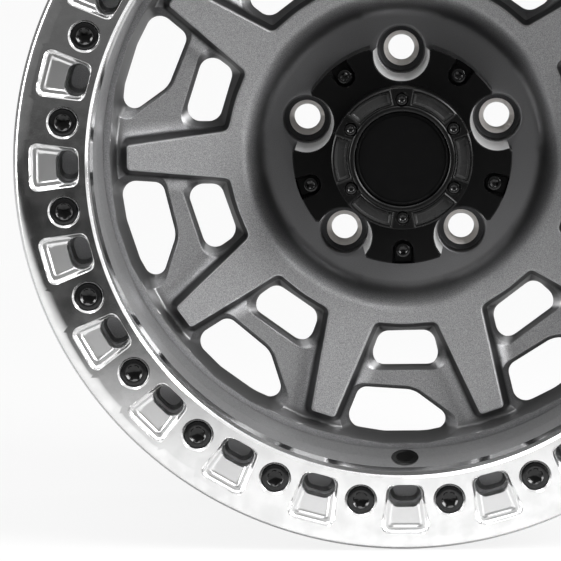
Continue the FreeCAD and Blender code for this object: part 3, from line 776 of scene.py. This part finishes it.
def build_hub():
    """The hub: pockets lathed about the lugs, floor and back ruled from them to a cell's edge, and the bore.

    The back is flat to a radius and rises evenly to the spokes' back beyond it.
    """
    hub = Shell()
    half = 180.0 / LUGS
    edge = cell_edge(BORE_R, HUB_R, -half, half, BORE_POINTS, 30, 96)
    centre = np.array([LUG_R, 0.0])
    way = edge - centre
    way = way / np.linalg.norm(way, axis=1, keepdims=True)
    hub.grid(np.stack([lift(centre + way * r, f) for r, f in LUG_PROFILE]))
    hub.grid(lift(fan(centre + way * LUG_PROFILE[-1][0], edge, 6), FLOOR))
    plane = fan(centre + way * LUG_HOLE_R, edge, 16)
    away = np.linalg.norm(plane - centre, axis=-1) - LUG_HOLE_R
    back = np.clip((np.linalg.norm(plane, axis=-1) - HUB_BACK_R) / (HUB_R - HUB_BACK_R), 0, 1) * BACK
    hub.grid(lift(plane, back + np.clip(LUG_CHAMFER - away, 0, LUG_CHAMFER)))
    hub.repeat(LUGS, LUG_FIRST)
    angles = LUG_FIRST - half + np.arange(BORE_POINTS * LUGS) * 2 * half / BORE_POINTS
    lathe(hub, [(BORE_R, 0.0), (BORE_R, FLOOR)], angles)
    hub.finish("hub_floor", HUB_PAINT, "wheel_casting")


# The barrel, with recesses in its front flange behind the ring's slots
SEAT = 128.0
SLOTS = 24
PITCH = 360.0 / SLOTS
SLOT_R = 205.9
BEAD_R = 218.5
RING_IN = 193.1
BARREL_R = 191.7
BARREL_INSIDE = [(LEDGE_R, 54.0), (190.4, 67.0), (BARREL_R, 81.0), (BARREL_R, 118.6), (BARREL_R, 119.0),
                 (RING_IN, SEAT)]
BARREL_INSIDE_ROUND = [0, 6, 8, 0, 0.2, 0]
BARREL_OUTSIDE = [
    (BEAD_R, SEAT), (BEAD_R, 108.0), (232.0, 108.0), (232.0, 99.0), (204.5, 88.0), (198.5, 80.0),
    (198.5, 12.0), (213.5, -35.3), (215.5, -69.3), (218.0, -73.3), (216.7, -78.3), (BEAD_R, -96.3),
    (222.5, -99.3), (232.0, -100.3), (236.0, -104.3), (236.0, -109.0), (233.0, -112.0), (211.0, -112.0),
    (207.0, -69.3), (205.0, -37.3), (190.5, 2.0), (LEDGE_R, BACK)]
BARREL_OUTSIDE_ROUND = [0, 2, 2, 2, 6, 8, 8, 12, 3, 2, 3, 3, 3, 3, 4, 3, 3, 3, 8, 20, 6, 0]
RECESS_STEPS = [(1.0, SEAT), (0.97, 126.5), (0.80, 114.0), (0.76, 111.5), (0.68, 110.2), (0.5, 110.0)]


def slot_loop(half, end, corner):
    """A rounded slot's outline about its own centre on the ring, its length across the radius."""
    return rounded_loop([(SLOT_R - end, -half, corner), (SLOT_R + end, -half, corner),
                         (SLOT_R + end, half, corner), (SLOT_R - end, half, corner)])


VALVE_AT = 270.0
VALVE_HALF = 5
VALVE_AXIS_SPOT = np.array([0.0, -57.5, -193.8])
VALVE_WAY = np.array([0.0, 0.993, -0.122])
VALVE_ACROSS = np.array([0.0, 0.122, 0.993]) * 0.53
VALVE_R = 5.75
VALVE_POCKET_R = 8.65
VALVE_FLOOR = 2.0
VALVE_END = 8.0
VALVE_MIDDLE = 78.0
VALVE_WALL_R = 190.5
PATCH_FRONT = 118.0


def valve_patch(shell, inside, rows):
    """The barrel's inner wall round the valve pocket, the pocket's floor and its bore.

    The pocket's mouth is where a tilted, flattened cylinder meets the lathed wall, found
    by halving along each of the cylinder's lines. The wall between it and the patch's
    edge is ruled in angle and front distance.
    """
    front = inside[:rows + 1, 1]
    sweep = np.arange(-VALVE_HALF, VALVE_HALF + 1)
    edge = np.concatenate([
        np.stack([sweep[:-1], np.full(len(sweep) - 1, front[0])], -1),
        np.stack([np.full(rows, VALVE_HALF), front[:-1]], -1),
        np.stack([sweep[:0:-1], np.full(len(sweep) - 1, front[-1])], -1),
        np.stack([np.full(rows, -VALVE_HALF), front[:0:-1]], -1)])
    scale = np.array([math.radians(VALVE_WALL_R), 1.0])
    way = edge * scale - np.array([0.0, VALVE_MIDDLE])
    turn = np.arctan2(way[:, 1], way[:, 0])

    def on_cylinder(radius, along):
        """The cylinder's points round its axis, at distances along it."""
        round_way = np.cos(turn)[:, None] * [1.0, 0.0, 0.0] - np.sin(turn)[:, None] * VALVE_ACROSS
        along = np.broadcast_to(along, turn.shape)[:, None]
        return VALVE_AXIS_SPOT + radius * round_way + along * VALVE_WAY

    low, high = np.full(len(turn), -75.0), np.full(len(turn), 12.0)
    for _ in range(40):
        middle = (low + high) / 2
        spot = on_cylinder(VALVE_POCKET_R, middle)
        outside = np.hypot(spot[:, 0], spot[:, 2]) > np.interp(-spot[:, 1], inside[:, 1], inside[:, 0])
        high = np.where(outside, middle, high)
        low = np.where(outside, low, middle)
    mouth = on_cylinder(VALVE_POCKET_R, low)
    angle = np.degrees(np.arctan2(mouth[:, 0], -mouth[:, 2]))
    ruled = fan(np.stack([angle, -mouth[:, 1]], -1) * scale, edge * scale, 5, (0.4,)) / scale
    radius = np.interp(ruled[..., 1], inside[:, 1], inside[:, 0])
    shell.grid(lift(radius[..., None] * polar(1.0, VALVE_AT + ruled[..., 0]), ruled[..., 1]))
    foot = on_cylinder(VALVE_POCKET_R, np.maximum(low + 0.3, VALVE_FLOOR))
    end = on_cylinder(VALVE_R, VALVE_END)
    shell.grid(np.stack([mouth, foot, on_cylinder(VALVE_R, VALVE_FLOOR), end]))
    shell.cap(end)


def build_barrel():
    """The barrel: a flange ruled round its recesses, and profiles of radius by front turned about the axis.

    The inner wall leaves out the valve's angles, which a patch of its own fills.
    """
    barrel = Shell()
    half = PITCH / 2
    edge = cell_edge(RING_IN, BEAD_R, -half, half, 15, 14, 15)
    centre = np.array([SLOT_R, 0.0])
    mouth = rays_to_loop(centre, edge, slot_loop(11.0, 7.6, 7.2))
    recess = [lift(centre + (mouth - centre) * share, front) for share, front in RECESS_STEPS]
    barrel.grid(lift(fan(mouth, edge, 4), SEAT))
    barrel.grid(np.stack(recess))
    barrel.cap(recess[-1])
    barrel.repeat(SLOTS)
    inside = softened(BARREL_INSIDE, BARREL_INSIDE_ROUND)
    stations = np.union1d(inside[:, 1], np.arange(56.0, PATCH_FRONT, 3.0))
    inside = np.stack([np.interp(stations, inside[:, 1], inside[:, 0]), stations], axis=-1)
    lathe(barrel, inside, VALVE_AT + VALVE_HALF + np.arange(361 - 2 * VALVE_HALF), False)
    rows = int(np.searchsorted(inside[:, 1], PATCH_FRONT))
    valve_patch(barrel, inside, rows)
    lathe(barrel, inside[rows:], VALVE_AT + np.arange(-VALVE_HALF, VALVE_HALF + 1), False)
    lathe(barrel, softened(BARREL_OUTSIDE, BARREL_OUTSIDE_ROUND), np.arange(360))
    barrel.finish("barrel", PAINT, "wheel_casting")


# The clamp ring
RING_OUT, RING_FACE_IN, RING_FACE_OUT = 239.42, 194.9, 234.0
FACE = 146.0
RING_INSIDE = [(RING_FACE_IN, FACE), (RING_IN, FACE - 1.8), (RING_IN, SEAT)]
RING_OUTSIDE = [(RING_FACE_OUT, FACE), (237.6, 144.6), (RING_OUT, 141.0), (RING_OUT, 130.5),
                (236.5, 126.0), (219.0, 126.0), (219.0, SEAT)]
RING_OUTSIDE_ROUND = [0, 2, 3, 3, 3, 0, 0]
POCKET_HALF_ANGLE = 4.05
POCKET = rounded_loop([(198.6, -11.6, 5.0), (229.4, -15.5, 5.0), (229.4, 15.5, 5.0), (198.6, 11.6, 5.0)], 10)
BOLT_CIRCLE_R = 210.0
BOLT_FIRST = PITCH / 2
BOLT_SEAT = 135.0
BORE_PROFILE = [(10.1, FACE), (8.8, FACE - 1.3), (8.8, BOLT_SEAT), (5.3, BOLT_SEAT)]


def pocket_depth(inside):
    """The ring pocket's depth by distance from its rim: an edge, a sloped wall, a ledge and a last step."""
    wall = np.clip((inside - 0.7) * 1.6, 0.0, 2.6)
    return np.minimum(inside, 0.7) + wall + np.clip(inside - 4.6, 0.0, 0.8)


def build_ring():
    """The clamp ring: cells with a pocket and its slot, cells with a bolt's bore, and lathed sides.

    Each cell's face is ruled from its hole to the cell's edge.
    """
    ring = Shell()
    slot_centre = np.array([SLOT_R, 0.0])
    edge = cell_edge(RING_FACE_IN, RING_FACE_OUT, -POCKET_HALF_ANGLE, POCKET_HALF_ANGLE, 16, 30, 16)
    rim = rays_to_loop(slot_centre, edge, POCKET)
    ring.grid(lift(fan(rim, edge, 2), FACE))
    slot = rays_to_loop(slot_centre, edge, slot_loop(10.2, 6.8, 6.4))
    mouth = slot_centre + (slot - slot_centre) * 1.06
    plane = fan(mouth, rim, 22)
    inside = -np.minimum(loop_distance(plane, POCKET), 0.0)
    inside[-1] = 0.0
    front = FACE - pocket_depth(inside)
    ring.grid(lift(plane, front))
    ring.grid(np.stack([lift(mouth, front[0]), lift(slot, front[0] - 0.8), lift(slot, SEAT)]))
    centre = polar(BOLT_CIRCLE_R, BOLT_FIRST)
    edge = cell_edge(RING_FACE_IN, RING_FACE_OUT, POCKET_HALF_ANGLE, PITCH - POCKET_HALF_ANGLE, 14, 30, 14)
    way = edge - centre
    way = way / np.linalg.norm(way, axis=1, keepdims=True)
    ring.grid(lift(fan(centre + way * BORE_PROFILE[0][0], edge, 3), FACE))
    ring.grid(np.stack([lift(centre + way * r, f) for r, f in BORE_PROFILE]))
    ring.repeat(SLOTS)
    cell = np.concatenate([
        np.linspace(-POCKET_HALF_ANGLE, POCKET_HALF_ANGLE, 16, endpoint=False),
        np.linspace(POCKET_HALF_ANGLE, PITCH - POCKET_HALF_ANGLE, 14, endpoint=False)])
    angles = (cell[None, :] + PITCH * np.arange(SLOTS)[:, None]).ravel()
    lathe(ring, RING_INSIDE, angles)
    lathe(ring, softened(RING_OUTSIDE, RING_OUTSIDE_ROUND), angles)
    ring.finish("clamp_ring", RING_METAL, "beadlock_ring")


def screw_set(name, material, cad_node, number, first, circle_r, head, socket, rim=0.6):
    """Socket screws on a circle: a lathed head whose round socket mouth narrows to a hexagon.

    head is its radius, front and floor. socket is its width across flats and its depth.
    A hexagon's reach is half its width divided by the cosine of the angle from a flat's middle.
    """
    screw = Shell()
    head_r, head_front, head_floor = head
    width, depth = socket
    turn = np.linspace(0, 2 * np.pi, 36, endpoint=False)
    round_way = np.stack([np.cos(turn), np.sin(turn)], -1)
    sector = (turn + np.pi / 6) % (np.pi / 3) - np.pi / 6
    hexagon = round_way * (width / 2 / np.cos(sector))[:, None]
    centre = np.array([circle_r, 0.0])
    mouth = width * 0.65
    profile = [(head_r - 0.3, head_floor), (head_r, head_floor + 0.3), (head_r, head_front - rim),
               (head_r - 0.3 * rim, head_front - 0.3 * rim), (head_r - rim, head_front),
               (mouth, head_front - 0.02 * head_r), (mouth - 0.05 * width, head_front - 0.06 * width)]
    loops = [lift(centre + round_way * r, f) for r, f in profile]
    loops += [lift(centre + hexagon, head_front - deep) for deep in (0.13 * width, depth)]
    screw.grid(np.stack(loops))
    tip = np.broadcast_to(lift(centre, head_front - depth - 0.2 * width), loops[-1].shape)
    screw.grid(np.stack([loops[-1], tip]))
    screw.cap(loops[0])
    screw.repeat(number, first)
    screw.finish(name, material, cad_node)


build_inner_spokes()
build_outer_spokes()
build_hub()
build_barrel()
build_ring()
screw_set("ring_bolts", BOLT_BLACK, "beadlock_bolts", SLOTS, BOLT_FIRST, BOLT_CIRCLE_R,
          head=(8.4, 145.0, BOLT_SEAT), socket=(8.0, 5.0), rim=1.2)

# The centre cap: legs between the lugs, a turret, a bezel and a plain badge
CAP_R = 69.1
CAP_FRONT = 73.0
TURRET_R = 43.9
TURRET_FRONT = 99.0
SCALLOP_R = 17.4
SCALLOP_FLARE = 1.0
MOUTH_ROUND = 1.6
SCALLOP_DRAFT = 2.2
NOTCH_R = 60.6
NOTCH_HALF = 6.0
NOTCH_DEEP = 5.5
LEG_FIRST = 54.0
LEG_MIDDLE_R = 57.0
TURRET_ARC_POINTS = 50


def leg_outline():
    """One leg's outline about +X: an inner arc, two lug scallops with flared mouths and an outer arc."""
    half = 180.0 / LUGS
    lug_way = polar(1.0, half)
    side_way = np.array([lug_way[1], -lug_way[0]])
    low = LUG_R - SCALLOP_R
    bow = rounded_path([(low, 0, 0), (low, SCALLOP_R - 0.3, SCALLOP_R - 0.8),
                        (CAP_R + SCALLOP_R, SCALLOP_R + SCALLOP_FLARE, 0)], 40)
    foot, run = bow[-2], bow[-1] - bow[-2]
    reach = np.linspace(0, 1, 400)[:, None]
    mouth = foot + run * reach
    mouth = mouth[np.linalg.norm(mouth, axis=1) < CAP_R - MOUTH_ROUND]
    scallop = np.concatenate([bow[:-1], mouth[::12]])
    upper = scallop[:, :1] * lug_way + scallop[:, 1:] * side_way
    end = angle_of(upper[-1]) - math.degrees(MOUTH_ROUND / CAP_R)
    outer = polar(CAP_R, np.linspace(end, -end, 40))
    lower = upper[::-1] * [1, -1]
    inner = polar(TURRET_R, np.linspace(-half, half, TURRET_ARC_POINTS))
    return np.concatenate([inner, upper, outer, lower]), len(upper)


def build_cap_base():
    """The cap's legs and turret, and the walls of the lug scallops in light grey metal that paints their
    reflection.

    A leg's face is ruled from its middle to its outline. It is lower in the screw's notch
    and rounded by the square of the distance within the edge. Walls are ruled from the
    face's edge to the floor, drawn in towards the lug.
    """
    base = Shell()
    outline, scallop_points = leg_outline()
    centre = np.array([LEG_MIDDLE_R, 0.0])
    plane = fan(centre + (outline - centre) * 0.02, outline, 44)
    edge = loop_distance(plane, outline)
    edge[-1] = 0.0
    r = np.linalg.norm(plane, axis=-1)
    notch = np.where(plane[..., 0] > NOTCH_R, np.abs(plane[..., 1]),
                     np.hypot(plane[..., 0] - NOTCH_R, plane[..., 1])) - NOTCH_HALF
    front = CAP_FRONT - NOTCH_DEEP * np.clip(0.5 - notch / 0.9, 0, 1)
    away = np.where(r > TURRET_R + 0.6, np.clip(0.7 + edge, 0, 0.7), 0.0)
    front = front - away ** 2 * 0.8
    base.grid(lift(plane, front))
    base.cap(lift(plane[0], front[0]))
    arc = outline[np.linalg.norm(outline, axis=1) > CAP_R - 0.01]
    base.grid(np.stack([lift(arc, CAP_FRONT - 0.4), lift(arc, FLOOR)]), False)
    base.repeat(LUGS, LEG_FIRST)
    turret = [(TURRET_R, CAP_FRONT), (TURRET_R, TURRET_FRONT - 0.4), (TURRET_R - 0.4, TURRET_FRONT),
              (1.0, TURRET_FRONT)]
    lathe(base, turret, np.arange(240) * 1.5)
    base.finish("cap_legs", CAP_BLACK, "cap_base")
    walls = Shell()
    for side, first in ((1, TURRET_ARC_POINTS), (-1, len(outline) - scallop_points)):
        last = first + scallop_points
        edge = outline[first:last]
        lug = polar(LUG_R, side * 180.0 / LUGS)
        foot = edge + (lug - edge) * SCALLOP_DRAFT / SCALLOP_R
        walls.grid(np.stack([lift(edge, front[-1, first:last]), lift(foot, FLOOR)]), False)
    walls.repeat(LUGS, LEG_FIRST)
    walls.finish("scallop_walls", SCALLOP_REFLECTION, "cap_base")


BEZEL_FRONT = 108.0
BEZEL_SCREWS = 6
BEZEL_SCREW_R = 36.9
BEZEL_IN = 29.7
TAB_FIRST = 90.0
BADGE_PROFILE = [(0.01, 105.0), (26.6, 105.0), (26.9, 104.7), (27.5, 104.7), (27.8, 105.0), (28.8, 105.0),
                 (29.6, 104.2), (29.6, TURRET_FRONT), (0.01, TURRET_FRONT)]


def bezel_front(r, a):
    """The bezel's front by radius and angle from a tab's middle: lip, tab, scoops and screw seat.

    A scoop is a smooth step of the distance within its sides, with a low rim as a bell
    curve along them. The lip is half an ellipse, and the seat a clipped cone.
    """
    beside_tab = (np.abs(a) - 10.0) * np.pi / 180 * r
    scoop = np.minimum(np.minimum(beside_tab, r - 33.9), 43.0 - r)
    bowl = 2.8 * smooth_step(scoop, 0.0, 2.4)
    rim = 0.45 * np.exp(-(scoop / 0.55) ** 2)
    lip = 1.0 * np.sqrt(np.clip(1 - ((r - 31.35) / 1.75) ** 2, 0, 1))
    seat = np.hypot(r * np.cos(np.radians(a)) - BEZEL_SCREW_R, r * np.sin(np.radians(a)))
    bore = 3.8 * np.clip((4.4 - seat) / 0.5, 0, 1)
    round_out = np.clip(r - (TURRET_R - 0.3), 0, 0.3)
    inner_low = np.where(r < 33.4, 0.4, 0.0)
    return BEZEL_FRONT - bowl + rim + lip - inner_low - bore - round_out ** 2


def build_bezel():
    """The bezel: its front on a grid of radius and angle, repeated for each tab, and plain sides and back."""
    bezel = Shell()
    half = 180.0 / BEZEL_SCREWS
    r, a = np.meshgrid(np.linspace(BEZEL_IN, TURRET_R, 58), np.linspace(-half, half, 121), indexing="ij")
    plane = polar(r, a)
    front = lift(plane, bezel_front(r, a))
    inner_foot, outer_foot = lift(plane[0], TURRET_FRONT), lift(plane[-1], TURRET_FRONT)
    bezel.grid(front, False)
    for strip in ((front[0], inner_foot), (front[-1], outer_foot), (inner_foot, outer_foot)):
        bezel.grid(np.stack(strip), False)
    bezel.repeat(BEZEL_SCREWS, TAB_FIRST)
    bezel.finish("bezel", BEZEL_BLACK, "cap_bezel")


def build_badge():
    """The plain badge: a profile with one shallow groove, turned about the axis."""
    badge = Shell()
    lathe(badge, BADGE_PROFILE, np.arange(180) * 2.0)
    badge.finish("badge_disc", BADGE_BLACK, "cap_badge")


build_cap_base()
build_bezel()
build_badge()
screw_set("cap_screws", SCREW_BLACK, "cap_mount_screws", LUGS, LEG_FIRST, NOTCH_R,
          head=(4.4, 72.5, 67.5), socket=(4.0, 2.5))
screw_set("bezel_screws", SCREW_BLACK, "cap_bezel_screws", BEZEL_SCREWS, TAB_FIRST,
          BEZEL_SCREW_R, head=(3.5, 107.2, 104.2), socket=(3.0, 1.6))

# Floor, light and camera
scene = bpy.context.scene
scene.view_settings.view_transform = "Standard"


def studio_light(tree):
    """World strength by direction: white screens beside and above the wheel, a dim room ahead, dark behind.

    Ahead it is darkest just below eye level. The camera itself sees white.
    """
    direction = tree.nodes.new("ShaderNodeTexCoord").outputs["Generated"]
    way = node(tree, "ShaderNodeSeparateXYZ", Vector=direction)
    ahead = math_node(tree, "MULTIPLY", way.outputs[1], -1.0)
    up = way.outputs[2]
    room = mix_value(tree, ramp(tree, up, -0.088, -0.060), 0.010, 0.16)
    room = mix_value(tree, ramp(tree, up, 0.3, 0.8), room, 0.5)
    light = mix_value(tree, ramp(tree, ahead, 0.30, 0.75), 0.95, room)
    light = mix_value(tree, ramp(tree, ahead, -0.20, -0.50), light, 0.06)
    path = tree.nodes.new("ShaderNodeLightPath")
    seen = math_node(tree, "MAXIMUM", path.outputs["Is Camera Ray"], path.outputs["Is Transmission Ray"])
    return mix_value(tree, seen, light, 0.96)


world = bpy.data.worlds.new("studio")
scene.world = world
world.use_nodes = True
sky = world.node_tree.nodes["Background"]
sky.inputs["Color"].default_value = (1, 1, 1, 1)
world.node_tree.links.new(studio_light(world.node_tree), sky.inputs["Strength"])

FLOOR_Z = CAD_BOX[0][2] - 0.0005
FLOOR_HALF, FLOOR_NEAR, FLOOR_FAR = 5, -2.2, 4
FLOOR_CORNERS = [(-FLOOR_HALF, FLOOR_NEAR, FLOOR_Z), (FLOOR_HALF, FLOOR_NEAR, FLOOR_Z),
                 (FLOOR_HALF, FLOOR_FAR, FLOOR_Z), (-FLOOR_HALF, FLOOR_FAR, FLOOR_Z)]
floor_mesh = bpy.data.meshes.new("floor")
floor_mesh.from_pydata(FLOOR_CORNERS, [], [(0, 1, 2, 3)])
floor = bpy.data.objects.new("floor", floor_mesh)
scene.collection.objects.link(floor)


def floor_material():
    """White paper; in reflections and bounced light it is painted darker towards its front edge, a painted
    shade.

    The camera sees part of its white as glow, so shadows stay soft.
    """
    material, tree, shader = new_material("floor_white")
    _, _, front = place_parts(tree)
    # Painted shade: in reflections and bounced light the paper darkens towards its front edge
    fade = mix_value(tree, ramp(tree, front, 0.30, 1.45), 0.56, 0.02)
    seen = tree.nodes.new("ShaderNodeLightPath").outputs["Is Camera Ray"]
    far = ramp(tree, front, -0.4, -1.6)
    white = mix_value(tree, seen, fade, mix_value(tree, far, 0.09, 0.0))
    tree.links.new(grey_colour(tree, white), shader.inputs["Base Color"])
    shader.inputs["Roughness"].default_value = 0.9
    shader.inputs["Specular IOR Level"].default_value = 0.0
    shader.inputs["Emission Color"].default_value = (1, 1, 1, 1)
    glow = math_node(tree, "MULTIPLY", seen, mix_value(tree, far, 0.86, 0.96))
    tree.links.new(glow, shader.inputs["Emission Strength"])
    return material


floor.data.materials.append(floor_material())


LAMP_TARGET = Vector((0, -0.1, 0))


def softbox(name, place, width, height, watts):
    """A rectangular lamp at a place, facing the wheel."""
    lamp = bpy.data.lights.new(name, "AREA")
    lamp.shape = "RECTANGLE"
    lamp.size, lamp.size_y, lamp.energy = width, height, watts
    made = bpy.data.objects.new(name, lamp)
    made.location = place
    made.rotation_euler = (LAMP_TARGET - Vector(place)).to_track_quat("-Z", "Y").to_euler()
    scene.collection.objects.link(made)


softbox("key_right", (1.70, -1.20, 1.00), 1.4, 1.4, 88)
softbox("top", (-0.3, -0.85, 1.9), 2.2, 0.8, 18)
softbox("side_left", (-1.85, -0.85, 0.25), 0.8, 1.6, 38)

CAMERA_SPOT = Vector((0.0, -3.216, 0.260))
CAMERA_AIM = Vector((-0.0755, -0.146, -0.0711))
CAMERA_FIELD = 0.345
CAMERA_ROLL = 0.65
SENSOR = 36.0
lens = bpy.data.cameras.new("camera")
lens.sensor_width = SENSOR
lens.lens = SENSOR * (CAMERA_AIM - CAMERA_SPOT).length / CAMERA_FIELD
lens.clip_end = 50.0
camera = bpy.data.objects.new("camera", lens)
look = (CAMERA_AIM - CAMERA_SPOT).to_track_quat("-Z", "Y").to_matrix().to_4x4()
camera.matrix_world = (Matrix.Translation(CAMERA_SPOT) @ look
                       @ Matrix.Rotation(math.radians(-CAMERA_ROLL), 4, "Z"))
scene.collection.objects.link(camera)
scene.camera = camera
